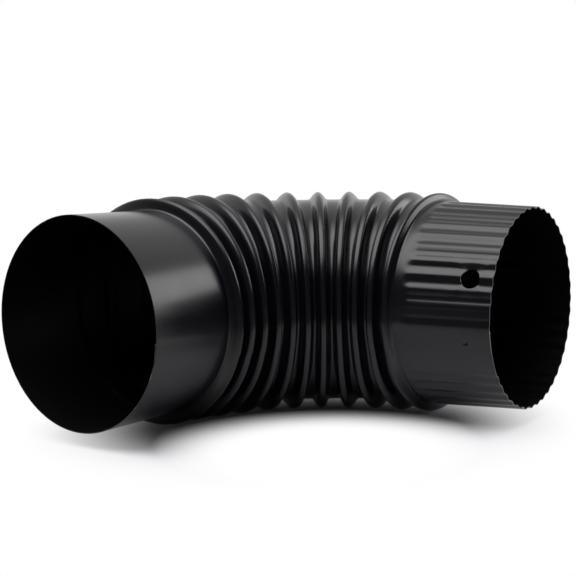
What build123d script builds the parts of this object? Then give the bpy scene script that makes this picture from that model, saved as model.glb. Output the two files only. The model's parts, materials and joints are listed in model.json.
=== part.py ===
from build123d import *
import os
from math import cos, degrees, hypot, radians, sin

# A corrugated stovepipe elbow for 6 in pipe, rolled from one steel sheet and closed by a lap seam.
# The bend lies flat: the plain mouth faces -Y, the crimped mouth faces +X and the beads rest on Z = 0.
# Sections are cut across the pipe. Angles on a section run from the throat (inside of the bend) upwards.

# Sheet and its lap seam
WALL = 0.6
SEAM_ANGLE = -12.0
LAP_WIDTH = 16.5
JOGGLE_WIDTH = 4.0

# Plain end, whose bore takes the crimped end of the next pipe
BORE_RADIUS = 76.0
PLAIN_LENGTH = 80.0
PLAIN_SHOULDER = 6.0

# Folded bend: beads that reach a little less far towards both ends of the bend, with flat valleys
# between them that are deep at the throat and shallow at the heel.
# A bead's side breaks once between its ridge and the valley. Shares are of a fold's angle and of its depth.
BEND_ANGLE = 90.0
BEND_RADIUS = 158.0
FOLDS = 10
BEAD_RADIUS = 87.4
END_BEAD_RADIUS = 85.5
THROAT_DEPTH = 13.0
HEEL_DEPTH = 3.0
BREAK_SHARE = 0.13
BREAK_DEPTH_SHARE = 0.38
VALLEY_SHARE = 0.31

# Crimped end, which tapers from a plain collar and slips into a pipe of the same bore.
# The crimps leave out the part of the rim beside the seam, and reach their depth a short way past the collar.
CRIMPED_LENGTH = 79.0
CRIMPED_SHOULDER = 6.0
COLLAR_RADIUS = 79.5
SLIP_CLEARANCE = 0.2
CRIMPS = 40
CRIMP_DEPTH = 1.5
CRIMP_RUN_IN = 11.0
CRIMP_LAND_SHARE = 0.3
FIRST_CRIMP_ANGLE = 1.25
CRIMP_FREE_ANGLE = 36.3

# Hanging hole in the crimped end
HOLE_DIAMETER = 14.5
HOLE_FROM_BEAD = 62.0
HOLE_ANGLE = 21.0

UP = Vector(0, 0, 1)
FOLD_ANGLE = BEND_ANGLE / FOLDS
PLAIN_RADIUS = BORE_RADIUS + WALL
RIM_RADIUS = BORE_RADIUS - SLIP_CLEARANCE


def station(turn, onward=0.0):
    """The plane across the pipe after this much of the bend and then a straight run onward."""
    to_throat = Vector(cos(radians(turn)), -sin(radians(turn)), 0)
    along = UP.cross(to_throat)
    centre = Vector(BEND_RADIUS, 0, 0) - to_throat * BEND_RADIUS + along * onward
    return Plane(centre, x_dir=to_throat, z_dir=-along)


def on_plane(plane, radius, angle):
    """A point at this radius and angle about the plane's origin."""
    return plane.from_local_coords((radius * cos(radians(angle)), radius * sin(radians(angle)), 0))


def round_section(plane, throat, heel):
    """The plane recentred, and the radius, of a circle with this reach to the throat and to the heel."""
    centre = on_plane(plane, (throat - heel) / 2, 0)
    return Plane(centre, x_dir=plane.x_dir, z_dir=plane.z_dir), (throat + heel) / 2


def seam_angles(radius):
    """Where the outer sheet's cut edge, the lap's root and the joggle's foot lie on this radius."""
    half_lap = degrees(LAP_WIDTH / 2 / radius)
    root = SEAM_ANGLE + half_lap
    return SEAM_ANGLE - half_lap, root, root + degrees(JOGGLE_WIDTH / radius)


def seam_edges(plane, radius):
    """The step up at the cut edge, the lap's outer face, and the joggle back down to the single sheet."""
    cut, root, foot = seam_angles(radius)
    step = Edge.make_line(on_plane(plane, radius, cut), on_plane(plane, radius + WALL, cut))
    lap = Edge.make_circle(radius + WALL, plane, cut, root)
    joggle = Edge.make_line(on_plane(plane, radius + WALL, root), on_plane(plane, radius, foot))
    return [step, lap, joggle]


def outer_ring(plane, throat, heel):
    """The outside of the sheet on one section: most of a circle, then the lap seam."""
    plane, radius = round_section(plane, throat, heel)
    cut, _, foot = seam_angles(radius)
    return [Edge.make_circle(radius, plane, foot, cut + 360)] + seam_edges(plane, radius)


def inner_ring(plane, throat, heel):
    """The inside of the sheet on one section: a circle that starts level with the joggle's foot."""
    plane, radius = round_section(plane, throat, heel)
    start = on_plane(plane, radius, seam_angles(radius)[2]) - plane.origin
    return [Edge.make_circle(radius, Plane(plane.origin, x_dir=start, z_dir=plane.z_dir))]


def strips(rings):
    """The straight-drawn faces between each section's edges and the next section's."""
    pairs = [pair for near, far in zip(rings, rings[1:]) for pair in zip(near, far)]
    return [Face.make_surface_from_curves(a, b) for a, b in pairs]


def across(outer, inner):
    """The flat face between the outside and the inside of the sheet on one section."""
    return Face(Wire(outer), [Wire(inner)])


def inset(drop, run):
    """The sheet's thickness measured towards the pipe's axis, under a side that drops this far in this run."""
    return WALL * hypot(drop, run) / run


def side_insets(depth_share, share):
    """The insets at the throat and at the heel under a side that falls by this share of their depths."""
    side_angle = share * radians(FOLD_ANGLE)
    throat = inset(depth_share * THROAT_DEPTH, side_angle * (BEND_RADIUS - BEAD_RADIUS + THROAT_DEPTH / 2))
    heel = inset(depth_share * HEEL_DEPTH, side_angle * (BEND_RADIUS + BEAD_RADIUS - HEEL_DEPTH / 2))
    return throat, heel


def fold_sections(inside):
    """The place in a fold of its ridge, break and valley, and how far each reaches to throat and heel."""
    insets = [(0, 0)] * 3
    valley_share = VALLEY_SHARE
    if inside:
        upper = side_insets(BREAK_DEPTH_SHARE, BREAK_SHARE)
        lower = side_insets(1 - BREAK_DEPTH_SHARE, VALLEY_SHARE - BREAK_SHARE)
        insets = [upper, lower, (WALL, WALL)]
        throat_run = radians(FOLD_ANGLE) * (BEND_RADIUS - BEAD_RADIUS + THROAT_DEPTH)
        valley_share -= WALL / 2 / throat_run
    shares = (0, BREAK_SHARE, valley_share)
    depth_shares = (0, BREAK_DEPTH_SHARE, 1)
    return [
        (share, BEAD_RADIUS - depth * THROAT_DEPTH - at_throat, BEAD_RADIUS - depth * HEEL_DEPTH - at_heel)
        for share, depth, (at_throat, at_heel) in zip(shares, depth_shares, insets)
    ]


def fold_ring(ring, fold, throat, heel):
    """A section after this many folds, drawn in with the cube of its distance from the middle of the bend."""
    drawn_in = (BEAD_RADIUS - END_BEAD_RADIUS) * abs(2 * fold / FOLDS - 1) ** 3
    return ring(station(fold * FOLD_ANGLE), throat - drawn_in, heel - drawn_in)


def shoulder_ring(ring, turn, run, radius, inside):
    """The break on the way down from an end bead to the straight pipe of this radius beside it."""
    drop = END_BEAD_RADIUS - radius
    reach = END_BEAD_RADIUS - BREAK_DEPTH_SHARE * drop
    if inside:
        reach -= inset(drop, abs(run))
    return ring(station(turn, run * BREAK_SHARE / VALLEY_SHARE), reach, reach)


def folded_side(ring, inside):
    """One side of the plain end and the folded bend: its faces, its rim's edges and its collar's edges."""
    thickness = WALL if inside else 0
    plain = PLAIN_RADIUS - thickness
    collar = COLLAR_RADIUS - thickness
    ridge, breaks, valley = fold_sections(inside)

    rings = [ring(station(0, -PLAIN_SHOULDER), plain, plain)]
    rings.append(shoulder_ring(ring, 0, -PLAIN_SHOULDER, PLAIN_RADIUS, inside))
    for fold in range(FOLDS):
        for share, throat, heel in (ridge, breaks, valley):
            rings.append(fold_ring(ring, fold + share, throat, heel))
        for share, throat, heel in (valley, breaks):
            rings.append(fold_ring(ring, fold + 1 - share, throat, heel))
    rings.append(fold_ring(ring, FOLDS, *ridge[1:]))
    rings.append(shoulder_ring(ring, BEND_ANGLE, CRIMPED_SHOULDER, COLLAR_RADIUS, inside))
    rings.append(ring(station(BEND_ANGLE, CRIMPED_SHOULDER), collar, collar))

    rim = ring(station(0, -PLAIN_LENGTH), plain, plain)
    run = Vector(0, PLAIN_LENGTH - PLAIN_SHOULDER, 0)
    return [Face.extrude(edge, run) for edge in rim] + strips(rings), rim, rings[-1]


def folded_body():
    """The plain end and the folded bend, as far as the crimped end's collar."""
    outside, outer_rim, outer_collar = folded_side(outer_ring, inside=False)
    inside, inner_rim, inner_collar = folded_side(inner_ring, inside=True)
    ends = [across(outer_rim, inner_rim), across(outer_collar, inner_collar)]
    return Solid(Shell(outside + inside + ends))


def crimp_turns(foot, cut):
    """Angles and depth shares of the crimps' corners, from the joggle's foot round to the cut edge."""
    pitch = (360 - CRIMP_FREE_ANGLE) / (CRIMPS - 1)
    half_groove = CRIMP_LAND_SHARE / 2
    half_mouth = (1 - CRIMP_LAND_SHARE) / 2
    turns = [(foot, 0)]
    for crimp in range(CRIMPS):
        for share, depth in ((-half_mouth, 0), (-half_groove, 1), (half_groove, 1), (half_mouth, 0)):
            turns.append((FIRST_CRIMP_ANGLE + (crimp + share) * pitch, depth))
    return turns + [(cut + 360, 0)]


def crimped_edges(plane, radius, depth):
    """The crimped edges of one section, round on the ridges and straight on the grooves and their sides."""
    cut, _, foot = seam_angles(radius)
    edges = []
    turns = crimp_turns(foot, cut)
    for (start, start_share), (end, end_share) in zip(turns, turns[1:]):
        if depth == 0 or start_share == end_share == 0:
            edges.append(Edge.make_circle(radius, plane, start, end))
        else:
            near = on_plane(plane, radius - depth * start_share, start)
            edges.append(Edge.make_line(near, on_plane(plane, radius - depth * end_share, end)))
    return edges


def inner_closing(plane, radius):
    """The inside of the sheet under the lap, which has no crimps."""
    cut, _, foot = seam_angles(radius)
    return [Edge.make_circle(radius, plane, cut, foot)]


def crimped_section(onward, depth):
    """The plane, the tapered radius and the crimps' depth this far along the crimped end."""
    taper = (COLLAR_RADIUS - RIM_RADIUS) / (CRIMPED_LENGTH - CRIMPED_SHOULDER)
    return station(BEND_ANGLE, onward), COLLAR_RADIUS - taper * (onward - CRIMPED_SHOULDER), depth


def crimped_body():
    """The crimped end from its collar to its rim."""
    sections = [
        crimped_section(CRIMPED_SHOULDER, 0),
        crimped_section(CRIMPED_SHOULDER + CRIMP_RUN_IN, CRIMP_DEPTH),
        crimped_section(CRIMPED_LENGTH, CRIMP_DEPTH),
    ]
    outer = [crimped_edges(p, r, d) + seam_edges(p, r) for p, r, d in sections]
    inner = [crimped_edges(p, r - WALL, d) + inner_closing(p, r - WALL) for p, r, d in sections]
    ends = [across(outer[0], inner[0]), across(outer[-1], inner[-1])]
    return Solid(Shell(strips(outer) + strips(inner) + ends))


def hanging_hole():
    """The drill for the hole, square to the crimped end's axis."""
    plane = station(BEND_ANGLE, HOLE_FROM_BEAD)
    outward = on_plane(plane, 1, HOLE_ANGLE) - plane.origin
    drill = Plane(plane.origin + outward * BORE_RADIUS / 2, z_dir=outward)
    return Solid.make_cylinder(HOLE_DIAMETER / 2, BORE_RADIUS, drill)


elbow = folded_body() + crimped_body() - hanging_hole()
middle = elbow.bounding_box().center()
elbow = Pos(-middle.X, -middle.Y, BEAD_RADIUS) * elbow
os.makedirs("parts", exist_ok=True)
export_step(elbow, "parts/elbow.step")
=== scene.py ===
import json
from math import cos, pi, radians, sin

import bpy
import numpy as np
from mathutils import Matrix, Vector


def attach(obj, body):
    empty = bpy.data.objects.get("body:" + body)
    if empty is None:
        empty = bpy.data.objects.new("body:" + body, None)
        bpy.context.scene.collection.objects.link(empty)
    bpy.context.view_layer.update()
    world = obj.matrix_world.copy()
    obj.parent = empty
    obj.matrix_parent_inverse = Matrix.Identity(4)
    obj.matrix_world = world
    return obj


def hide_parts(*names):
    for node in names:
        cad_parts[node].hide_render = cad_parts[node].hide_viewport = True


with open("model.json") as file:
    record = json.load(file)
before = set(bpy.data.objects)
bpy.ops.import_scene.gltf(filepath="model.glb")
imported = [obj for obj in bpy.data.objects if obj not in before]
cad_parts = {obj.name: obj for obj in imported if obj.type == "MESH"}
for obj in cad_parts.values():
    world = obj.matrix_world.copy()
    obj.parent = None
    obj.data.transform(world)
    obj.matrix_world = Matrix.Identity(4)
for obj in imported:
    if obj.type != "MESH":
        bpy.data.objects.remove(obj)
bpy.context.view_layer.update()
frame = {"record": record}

# The elbow is one sheet of 24 gauge steel, rolled into a tube and closed by a spot-welded lap seam.
# The bend is pressed in as ten folds, and one end is crimped so that it slips into the next pipe.
# Both sides are sprayed with black stove paint, and bright steel shows only on the cut edges.
MM = 0.001
mounts = {mount["name"]: mount for mount in frame["record"]["mounts"]}
plain_mouth = np.array(mounts["plain_mouth"]["pos_m"]) / MM
crimped_mouth = np.array(mounts["crimped_mouth"]["pos_m"]) / MM

sheet_thickness = 0.6
bend_radius = 158.0
bead_radius = plain_mouth[2]
plain_radius = mounts["plain_mouth"]["dims"]["r_mm"] + sheet_thickness
bend_axis = np.array([plain_mouth[0] + bend_radius, crimped_mouth[1] - bend_radius, bead_radius])
plain_length = bend_axis[1] - plain_mouth[1]
crimped_length = crimped_mouth[0] - bend_axis[0]
bend_length = bend_radius * pi / 2


def smooth_step(x):
    """Rises from 0 to 1 as x does, level at both ends: 3x squared less 2x cubed."""
    x = np.clip(x, 0, 1)
    return x * x * (3 - 2 * x)


folds = 10
fold_angle = pi / 2 / folds
end_bead_radius = 85.5
throat_bead_half = 4.3
side_bead_half = 6.4
throat_squareness = 4.0
side_squareness = 1.8
throat_dish = 2.4
side_dish = 0.8
throat_depth = 13.0
heel_depth = 3.0
depth_power = 1.4
throat_begins = 0.1
throat_span = 0.8


def bend_section(turn, angle):
    """How far the folded bend reaches from the pipe's axis.

    A bead falls from its ridge with a power of the distance from it, square at the throat and domed on the
    sides, down to a dished valley. The fall is deep at the throat and shallow at the heel. All is drawn in
    with the cube of the distance from mid-bend.
    """
    at_throat = smooth_step((np.cos(angle) - throat_begins) / throat_span)
    depth = heel_depth + (throat_depth - heel_depth) * ((1 + np.cos(angle)) / 2) ** depth_power
    pitch = fold_angle * (bend_radius - (bead_radius - depth / 2) * np.cos(angle))
    fold = turn / fold_angle
    aside = np.abs(fold - np.round(fold)) * pitch
    half = side_bead_half + (throat_bead_half - side_bead_half) * at_throat
    squareness = side_squareness + (throat_squareness - side_squareness) * at_throat
    fall = np.clip(aside / half, 0, 1) ** squareness
    dish = side_dish + (throat_dish - side_dish) * at_throat
    valley_rise = dish * np.clip((pitch / 2 - aside) / (pitch / 2 - half), 0, 1) ** 2 * fall
    drawn_in = (bead_radius - end_bead_radius) * np.abs(2 * fold / folds - 1) ** 3
    return bead_radius - depth * fall + valley_rise - drawn_in


shoulder_length = 6.0
shoulder_crest = 0.6
shoulder_foot = 3.8


def shoulder(onward):
    """The share of an end bead's height left this far from its ridge: all of it, then a smooth fall."""
    return 1 - smooth_step((onward - shoulder_crest) / (shoulder_foot - shoulder_crest))


def plain_section(onward):
    """The plain end's radius: straight, then up the shoulder to the first bead."""
    return plain_radius + (end_bead_radius - plain_radius) * shoulder(-onward)


collar_radius = 79.5
rim_radius = 75.8
crimp_pitch = radians(8.3)
first_crimp = radians(1.25)
first_crimp_share = 0.35
crimp_free_angle = radians(36.3)
crimp_depth = 1.5
crimp_start = 9.0
crimp_run_in = 8.0


def crimped_section(onward, angle):
    """The crimped end's radius: down from the last bead, then a taper with cosine waves pressed into it.

    The waves run in smoothly behind the collar, stop short of the seam, and the first of them is fainter.
    """
    tapered = np.clip((onward - shoulder_length) / (crimped_length - shoulder_length), 0, 1)
    taper = collar_radius + (rim_radius - collar_radius) * tapered
    past_first = np.mod(angle - first_crimp, 2 * pi)
    wave = (1 + np.cos(past_first / crimp_pitch * 2 * pi)) / 2
    from_first = np.mod(past_first + crimp_pitch / 2, 2 * pi) - crimp_pitch / 2
    crimped = from_first < 2 * pi - crimp_free_angle
    faint = first_crimp_share + (1 - first_crimp_share) * smooth_step(from_first / crimp_pitch)
    depth = crimp_depth * faint * smooth_step((onward - crimp_start) / crimp_run_in)
    return taper + (end_bead_radius - taper) * shoulder(onward) - depth * wave * crimped


seam_angle = radians(-12.0)
lap_half_angle = radians(6.0)
joggle_angle = radians(7.0)
flush_angle = radians(1.4)
flush_lift = 0.06
lap_gap = 0.05


def sheet_points(place, angle):
    """The sheet's outer face at a place along the pipe's axis and an angle up from the throat.

    The axis is a straight run, a quarter circle and another straight run. Each point lies at the section's
    radius from it. In the lap the layer from above is lifted by one thickness, but on the plain end it lies
    flush and the layer from below dips under it instead.
    """
    in_bend = np.clip(place, plain_length, plain_length + bend_length)
    turn = (in_bend - plain_length) / bend_radius
    onward = place - in_bend
    radius = np.where(onward < 0, plain_section(onward), bend_section(turn, angle))
    radius = np.where(onward > 0, crimped_section(onward, angle), radius)
    proud = smooth_step((place - plain_length) / shoulder_length + 1)
    lift = flush_lift + (sheet_thickness + lap_gap - flush_lift) * proud
    past_lap = (angle - seam_angle - lap_half_angle) / joggle_angle
    under_lap = (angle - seam_angle + lap_half_angle - flush_angle - 2 * pi) / joggle_angle
    radius = radius + lift * (1 - smooth_step(past_lap))
    radius = radius - (sheet_thickness + lap_gap) * (1 - proud) * smooth_step(under_lap)

    nothing = np.zeros_like(turn)
    to_throat = np.stack([np.cos(turn), -np.sin(turn), nothing], axis=-1)
    along = np.stack([np.sin(turn), np.cos(turn), nothing], axis=-1)
    axis = bend_axis - to_throat * bend_radius + along * onward[..., None]
    aside = radius[..., None] * np.cos(angle)[..., None] * to_throat
    upward = radius[..., None] * np.sin(angle)[..., None] * np.array([0, 0, 1.0])
    return axis + aside + upward


# Columns are five to a crimp, and one lies on the hole. The lap's two edges are the first and the last.
hole_radius = 7.25
hole_angle = radians(21.0)
hole_place = 62.0
radius_at_hole = 77.0
columns_per_crimp = 5
column_angle = crimp_pitch / columns_per_crimp
cell = column_angle * radius_at_hole
below = int((hole_angle - seam_angle + lap_half_angle) / column_angle)
above = int((2 * pi + seam_angle + lap_half_angle - hole_angle) / column_angle)
angles = hole_angle + column_angle * np.arange(-below, above + 1)
angles[0] = seam_angle - lap_half_angle
angles[-1] = 2 * pi + seam_angle + lap_half_angle

# Rows crowd towards the rims, the shoulders, the beads, the crimps' start and the hole.
hole_cells = 3
eased_cells = 7
crimped_from = plain_length + bend_length
hole_row = crimped_from + hole_place
bead_shares = np.array([0, 0.035, 0.075, 0.12, 0.165, 0.21, 0.25, 0.295, 0.345])
fold_shares = np.concatenate([bead_shares, 1 - bead_shares[:0:-1]])
plain_rim_rows = np.array([0, 1.0])
plain_rows = np.linspace(20, plain_length - shoulder_length, 4)
first_shoulder_rows = plain_length - shoulder_length * np.linspace(0.88, 0.1, 7)
fold_rows = plain_length + np.add.outer(np.arange(folds), fold_shares).ravel() * bend_length / folds
last_shoulder_rows = crimped_from + shoulder_length * np.linspace(0, 1, 8)
run_in_rows = crimped_from + crimp_start + crimp_run_in * np.linspace(0, 1, 6)
crimp_rows = np.linspace(crimped_from + 24, hole_row - (eased_cells + 1.5) * cell, 3)
hole_rows = hole_row + cell * np.arange(-eased_cells, eased_cells + 1)
crimped_rim_rows = crimped_from + crimped_length - np.array([0.6, 0])
places = np.concatenate([
    plain_rim_rows,
    plain_rows,
    first_shoulder_rows,
    fold_rows,
    last_shoulder_rows,
    run_in_rows,
    crimp_rows,
    hole_rows,
    crimped_rim_rows,
])

# The grid's cells round the hole are eased from squares on the outside to a circle on the hole's edge.
least_cells = 0.1
place, angle = np.meshgrid(places, angles, indexing="ij")
x = (angle - hole_angle) / column_angle
y = (place - hole_row) / cell
ring = np.maximum(np.abs(x), np.abs(y))
circle = hole_radius / cell
eased = np.clip((eased_cells - ring) / (eased_cells - hole_cells), 0, 1)
reach = circle + (ring - hole_cells) * (eased_cells - circle) / (eased_cells - hole_cells)
near = (ring < eased_cells) & (ring > hole_cells - 0.5)
length = np.maximum(np.hypot(x, y), least_cells)
scale = np.where(near, reach * (eased / length + (1 - eased) / np.maximum(ring, least_cells)), 1)
angle = hole_angle + x * scale * column_angle
place = hole_row + y * scale * cell

points = sheet_points(place, angle) * MM
rows, columns = place.shape
corner = np.arange(rows * columns).reshape(rows, columns)
quads = np.stack([corner[:-1, :-1], corner[1:, :-1], corner[1:, 1:], corner[:-1, 1:]], axis=-1)
middle_x = np.abs(x[:-1, :-1] + x[1:, 1:]) / 2
middle_y = np.abs(y[:-1, :-1] + y[1:, 1:]) / 2
in_hole = np.maximum(middle_x, middle_y) < hole_cells
used, quads = np.unique(quads[~in_hole], return_inverse=True)
quads = quads.reshape(-1, 4)
mesh = bpy.data.meshes.new("elbow_sheet")
mesh.from_pydata(points.reshape(-1, 3)[used], [], quads)
mesh.shade_smooth()
edge_of_corner = np.empty(len(mesh.loops), dtype=np.int32)
mesh.loops.foreach_get("edge_index", edge_of_corner)
cut = np.bincount(edge_of_corner, minlength=len(mesh.edges)) == 1
mesh.attributes.new("sharp_edge", "BOOLEAN", "EDGE").data.foreach_set("value", cut)
elbow = bpy.data.objects.new("elbow_sheet", mesh)
bpy.context.scene.collection.objects.link(elbow)

thickness = elbow.modifiers.new("sheet", "SOLIDIFY")
thickness.thickness = sheet_thickness * MM
thickness.offset = -1
thickness.use_quality_normals = True
thickness.material_offset_rim = 1
thickness.material_offset = 2


def linear(hex_colour):
    """An sRGB hex colour as linear red, green, blue and full alpha."""
    parts = np.array([int(hex_colour[i:i + 2], 16) for i in (1, 3, 5)]) / 255
    lit = np.where(parts <= 0.04045, parts / 12.92, ((parts + 0.055) / 1.055) ** 2.4)
    return (*lit, 1.0)


def add_node(tree, kind, inputs, **settings):
    """Adds a node with its settings. An input is set to a value, or linked where it is a node's output."""
    node = tree.nodes.new(kind)
    for name, value in settings.items():
        setattr(node, name, value)
    for name, value in inputs.items():
        if isinstance(value, bpy.types.NodeSocket):
            tree.links.new(value, node.inputs[name])
        else:
            node.inputs[name].default_value = value
    return node


def new_material(name):
    """An empty material with its output, and the tree to add nodes to."""
    material = bpy.data.materials.new(name)
    material.use_nodes = True
    material.node_tree.nodes.clear()
    output = material.node_tree.nodes.new("ShaderNodeOutputMaterial")
    return material, material.node_tree, output


# Satin black stove paint, sprayed and baked. It gives a near-black body with a soft clear reflection,
# a little mottle where the coat is thinner, a fine orange peel, and a small dimple at the seam's weld.
paint_mottle = 30.0
mottle_range = (0.3, 0.7)
paint_roughness = (0.21, 0.27)
paint_peel = 1.6
peel_strength = 0.12
peel_height = 0.05
weld_place = 60.5
weld_angle = radians(-13.4)
weld_radius = 2.2
weld_flat_share = 0.3
weld_depth = 0.6
stove_paint, tree, output = new_material("satin_black_stove_paint")
where = add_node(tree, "ShaderNodeTexCoord", {}).outputs["Object"]
mottle = add_node(tree, "ShaderNodeTexNoise", {
    "Vector": where,
    "Scale": 1 / (paint_mottle * MM),
    "Detail": 4.0,
})
tint = add_node(tree, "ShaderNodeMix", {
    "Factor": mottle.outputs["Fac"],
    "A": linear("#0a070e"),
    "B": linear("#0f0b14"),
}, data_type="RGBA")
gloss = add_node(tree, "ShaderNodeMapRange", {
    "Value": mottle.outputs["Fac"],
    "From Min": mottle_range[0],
    "From Max": mottle_range[1],
    "To Min": paint_roughness[0],
    "To Max": paint_roughness[1],
})
peel = add_node(tree, "ShaderNodeTexNoise", {
    "Vector": where,
    "Scale": 1 / (paint_peel * MM),
    "Detail": 2.0,
})
weld_point = sheet_points(np.array([crimped_from + weld_place]), np.array([weld_angle]))[0] * MM
from_weld = add_node(tree, "ShaderNodeVectorMath", {0: where, 1: weld_point}, operation="DISTANCE")
dimple = add_node(tree, "ShaderNodeMapRange", {
    "Value": from_weld.outputs["Value"],
    "From Min": weld_flat_share * weld_radius * MM,
    "From Max": weld_radius * MM,
}, interpolation_type="SMOOTHSTEP")
dent = add_node(tree, "ShaderNodeBump", {
    "Height": dimple.outputs["Result"],
    "Distance": weld_depth * MM,
})
bump = add_node(tree, "ShaderNodeBump", {
    "Height": peel.outputs["Fac"],
    "Strength": peel_strength,
    "Distance": peel_height * MM,
    "Normal": dent.outputs["Normal"],
})
paint = add_node(tree, "ShaderNodeBsdfPrincipled", {
    "Base Color": tint.outputs["Result"],
    "Roughness": gloss.outputs["Result"],
    "Normal": bump.outputs["Normal"],
    "IOR": 1.5,
})
tree.links.new(paint.outputs["BSDF"], output.inputs["Surface"])

# Sheared steel edge, half covered by overspray.
# It gives a thin broken bright line round the rims and the hole.
edge_patch = 9.0
bare_range = (0.6, 0.75)
cut_edge, tree, output = new_material("sheared_steel_edge")
where = add_node(tree, "ShaderNodeTexCoord", {}).outputs["Object"]
patches = add_node(tree, "ShaderNodeTexNoise", {
    "Vector": where,
    "Scale": 1 / (edge_patch * MM),
    "Detail": 3.0,
})
bare = add_node(tree, "ShaderNodeMapRange", {
    "Value": patches.outputs["Fac"],
    "From Min": bare_range[0],
    "From Max": bare_range[1],
})
colour = add_node(tree, "ShaderNodeMix", {
    "Factor": bare.outputs["Result"],
    "A": linear("#09090a"),
    "B": linear("#9b9a97"),
}, data_type="RGBA")
steel = add_node(tree, "ShaderNodeBsdfPrincipled", {
    "Base Color": colour.outputs["Result"],
    "Metallic": bare.outputs["Result"],
    "Roughness": 0.3,
})
tree.links.new(steel.outputs["BSDF"], output.inputs["Surface"])

# Thin flat black inside, where less of the spray reaches. It gives the eye a dark, dull bore.
dull_paint, tree, output = new_material("dull_black_inner_coat")
coat = add_node(tree, "ShaderNodeBsdfPrincipled", {
    "Base Color": linear("#020203"),
    "Roughness": 0.5,
    "Specular IOR Level": 0.2,
})
tree.links.new(coat.outputs["BSDF"], output.inputs["Surface"])

mesh.materials.append(stove_paint)
mesh.materials.append(cut_edge)
mesh.materials.append(dull_paint)
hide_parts("elbow")
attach(elbow, "root")

# A plain white table that the elbow lies on, a square flat sheet much wider than the view.
# It takes the elbow's shadow and shows in the paint from below.
table_half = 2.0
mesh = bpy.data.meshes.new("table")
square = np.array([[-1, -1, 0], [1, -1, 0], [1, 1, 0], [-1, 1, 0]]) * table_half
mesh.from_pydata(square, [], [(0, 1, 2, 3)])
table = bpy.data.objects.new("table", mesh)
bpy.context.scene.collection.objects.link(table)

# White laminate, even and matt. The camera sees the lit table, with the elbow's shadow, only in a band along
# the bend close to the elbow. Beside that band and far out it sees a white glow, which near the mouths is
# painted light over the elbow's shadow, and the paint's reflections show that glow far from the elbow. For
# all but the camera the table is painted darker towards the front, a painted shade for the dim front of the
# room.
view_azimuth = radians(35.57)
behind = Vector((-sin(view_azimuth), cos(view_azimuth), 0))
rightward = Vector((cos(view_azimuth), sin(view_azimuth), 0))
shadow_radius = bend_radius * MM + 0.007
shadow_reach = (0.02, 0.095)
clear_reach = (0.11, 0.22)
front_reach = 0.45
front_dimming = 0.9
laminate, tree, output = new_material("white_laminate")
matt = add_node(tree, "ShaderNodeBsdfDiffuse", {"Color": linear("#f1eef3")})
where = add_node(tree, "ShaderNodeTexCoord", {}).outputs["Object"]
on_table = Vector((bend_axis[0] * MM, bend_axis[1] * MM, 0))
swing = add_node(tree, "ShaderNodeVectorMath", {0: where, 1: on_table}, operation="DISTANCE")
beside = add_node(tree, "ShaderNodeMath", {
    0: swing.outputs["Value"],
    1: shadow_radius,
}, operation="SUBTRACT")
aside = add_node(tree, "ShaderNodeMath", {0: beside.outputs[0]}, operation="ABSOLUTE")
clear = add_node(tree, "ShaderNodeMapRange", {
    "Value": aside.outputs[0],
    "From Min": shadow_reach[0],
    "From Max": shadow_reach[1],
}, interpolation_type="SMOOTHSTEP")
away = add_node(tree, "ShaderNodeVectorMath", {0: where}, operation="LENGTH")
open_table = add_node(tree, "ShaderNodeMapRange", {
    "Value": away.outputs["Value"],
    "From Min": clear_reach[0],
    "From Max": clear_reach[1],
}, interpolation_type="SMOOTHSTEP")
path = add_node(tree, "ShaderNodeLightPath", {})
mirrored = add_node(tree, "ShaderNodeMath", {
    0: path.outputs["Is Glossy Ray"],
    1: path.outputs["Is Transmission Ray"],
}, operation="MAXIMUM")
seen = add_node(tree, "ShaderNodeMath", {
    0: path.outputs["Is Camera Ray"],
    1: mirrored.outputs[0],
}, operation="MAXIMUM")
near_white = add_node(tree, "ShaderNodeMath", {
    0: clear.outputs["Result"],
    1: path.outputs["Is Camera Ray"],
}, operation="MULTIPLY")
far_white = add_node(tree, "ShaderNodeMath", {
    0: open_table.outputs["Result"],
    1: seen.outputs[0],
}, operation="MULTIPLY")
# Painted light: where this share is high the table is a white glow instead of the lit table, so the elbow's
# shadow ends there.
painted_light_share = add_node(tree, "ShaderNodeMath", {
    0: near_white.outputs[0],
    1: far_white.outputs[0],
}, operation="MAXIMUM")
white = add_node(tree, "ShaderNodeEmission", {"Color": linear("#ffffff"), "Strength": 1.0})
shown = add_node(tree, "ShaderNodeMixShader", {
    0: painted_light_share.outputs[0],
    1: matt.outputs[0],
    2: white.outputs[0],
})
# Painted shade: for all but the camera the table turns towards black to the front, standing in for less light
# there.
front = add_node(tree, "ShaderNodeVectorMath", {0: where, 1: -behind}, operation="DOT_PRODUCT")
dim = add_node(tree, "ShaderNodeMapRange", {
    "Value": front.outputs["Value"],
    "From Max": front_reach,
    "To Max": front_dimming,
})
unseen = add_node(tree, "ShaderNodeMath", {0: 1.0, 1: path.outputs["Is Camera Ray"]}, operation="SUBTRACT")
painted_front_shade = add_node(tree, "ShaderNodeMath", {
    0: dim.outputs["Result"],
    1: unseen.outputs[0],
}, operation="MULTIPLY")
dark = add_node(tree, "ShaderNodeBsdfDiffuse", {"Color": linear("#000000")})
faded = add_node(tree, "ShaderNodeMixShader", {
    0: painted_front_shade.outputs[0],
    1: shown.outputs[0],
    2: dark.outputs[0],
})
tree.links.new(faded.outputs[0], output.inputs["Surface"])
mesh.materials.append(laminate)

# Studio light: a wide panel overhead and a window at the right, each a rectangle with a soft edge.
# Behind the elbow is a bright white sweep, brightest low down, and in front of it a dim room.
edge_fade = 0.6


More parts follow.
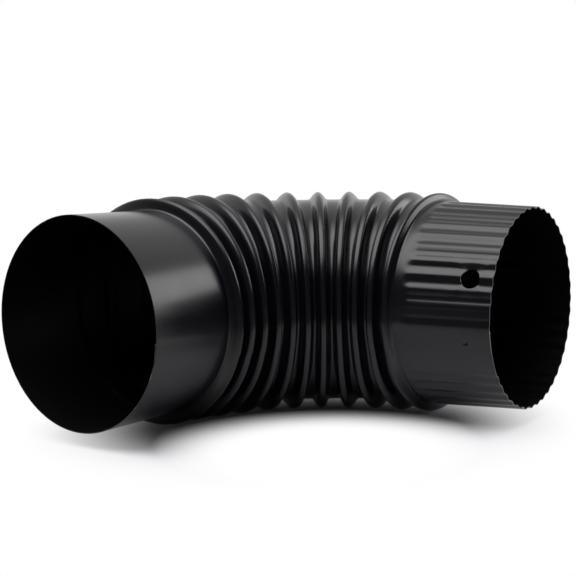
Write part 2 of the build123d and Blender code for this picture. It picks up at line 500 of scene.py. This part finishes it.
def softbox(name, place, turn, width, height, radiance, even):
    """A rectangular lamp, bright over an even share and dimmer to its edge. A radiance of 1 looks white."""
    lamp = bpy.data.lights.new(name, "AREA")
    lamp.shape = "RECTANGLE"
    lamp.size = width
    lamp.size_y = height
    lamp.energy = radiance * pi * width * height
    lamp.use_nodes = True
    tree = lamp.node_tree
    tree.nodes.clear()
    spot = add_node(tree, "ShaderNodeNewGeometry", {}).outputs["Parametric"]
    aside = add_node(tree, "ShaderNodeVectorMath", {
        0: spot,
        1: (2, 2, 0),
        2: (-1, -1, 0),
    }, operation="MULTIPLY_ADD")
    off = add_node(tree, "ShaderNodeVectorMath", {0: aside.outputs["Vector"]}, operation="LENGTH")
    glow = add_node(tree, "ShaderNodeMapRange", {
        "Value": off.outputs["Value"],
        "From Min": even,
        "From Max": even + edge_fade,
        "To Min": 1.0,
        "To Max": 0.0,
    }, interpolation_type="SMOOTHSTEP")
    tube = add_node(tree, "ShaderNodeEmission", {"Strength": glow.outputs["Result"]})
    add_node(tree, "ShaderNodeOutputLight", {"Surface": tube.outputs["Emission"]})
    holder = bpy.data.objects.new(name, lamp)
    holder.location = place
    holder.rotation_euler = turn
    bpy.context.scene.collection.objects.link(holder)


softbox(
    "overhead_panel",
    place=Vector((0, 0, 1.35)) - behind * 0.5 - rightward * 0.5,
    turn=(0, 0, view_azimuth),
    width=2.6,
    height=1.9,
    radiance=3.8,
    even=0.45,
)
softbox(
    "right_window",
    place=Vector((1.09, 1.40, 0.72)),
    turn=(radians(70), 0, radians(142)),
    width=1.3,
    height=0.95,
    radiance=2.8,
    even=1.2,
)

sweep_edge = (-0.2, 0.6)
sweep_strength = (0.03, 1.0)
sweep_heights = (0.15, 0.5)
height_strength = (1.3, 0.5)
world = bpy.data.worlds.new("studio")
bpy.context.scene.world = world
world.use_nodes = True
tree = world.node_tree
tree.nodes.clear()
path = add_node(tree, "ShaderNodeLightPath", {})
toward = add_node(tree, "ShaderNodeTexCoord", {}).outputs["Generated"]
back = add_node(tree, "ShaderNodeVectorMath", {0: toward, 1: behind}, operation="DOT_PRODUCT")
backdrop = add_node(tree, "ShaderNodeMapRange", {
    "Value": back.outputs["Value"],
    "From Min": sweep_edge[0],
    "From Max": sweep_edge[1],
    "To Min": sweep_strength[0],
    "To Max": sweep_strength[1],
}, interpolation_type="SMOOTHSTEP")
height = add_node(tree, "ShaderNodeSeparateXYZ", {0: toward})
fading = add_node(tree, "ShaderNodeMapRange", {
    "Value": height.outputs["Z"],
    "From Min": sweep_heights[0],
    "From Max": sweep_heights[1],
    "To Min": height_strength[0],
    "To Max": height_strength[1],
}, interpolation_type="SMOOTHSTEP")
lit = add_node(tree, "ShaderNodeMath", {
    0: backdrop.outputs["Result"],
    1: fading.outputs["Result"],
}, operation="MULTIPLY")
room = add_node(tree, "ShaderNodeBackground", {"Color": linear("#ffffff"), "Strength": lit.outputs[0]})
white = add_node(tree, "ShaderNodeBackground", {"Color": linear("#ffffff"), "Strength": 1.0})
mirrored = add_node(tree, "ShaderNodeMath", {
    0: path.outputs["Is Glossy Ray"],
    1: path.outputs["Is Transmission Ray"],
}, operation="MAXIMUM")
swept = add_node(tree, "ShaderNodeMath", {0: mirrored.outputs[0], 1: lit.outputs[0]}, operation="MULTIPLY")
seen = add_node(tree, "ShaderNodeMath", {
    0: path.outputs["Is Camera Ray"],
    1: swept.outputs[0],
}, operation="MAXIMUM")
mixed = add_node(tree, "ShaderNodeMixShader", {0: seen.outputs[0], 1: room.outputs[0], 2: white.outputs[0]})
add_node(tree, "ShaderNodeOutputWorld", {"Surface": mixed.outputs[0]})

# The camera stands a little above the elbow and looks down across both mouths, slightly rolled.
# Its lens is worked out from a focal length in pixels, for a square picture.
camera_place = Vector((0.4847, -0.6899, 0.1894))
view_elevation = radians(5.93)
view_roll = radians(-0.87)
focal_pixels = 1096.6
picture_pixels = 576
sensor = 36.0
forward = behind * cos(view_elevation) - Vector((0, 0, sin(view_elevation)))
upright = rightward.cross(forward)
right = rightward * cos(view_roll) + upright * sin(view_roll)
up = upright * cos(view_roll) - rightward * sin(view_roll)
lens = bpy.data.cameras.new("camera")
lens.sensor_width = sensor
lens.lens = focal_pixels / picture_pixels * sensor
camera = bpy.data.objects.new("camera", lens)
turned = Matrix((right, up, -forward)).transposed().to_4x4()
camera.matrix_world = Matrix.Translation(camera_place) @ turned
bpy.context.scene.collection.objects.link(camera)
bpy.context.scene.camera = camera
bpy.context.scene.view_settings.view_transform = "Standard"
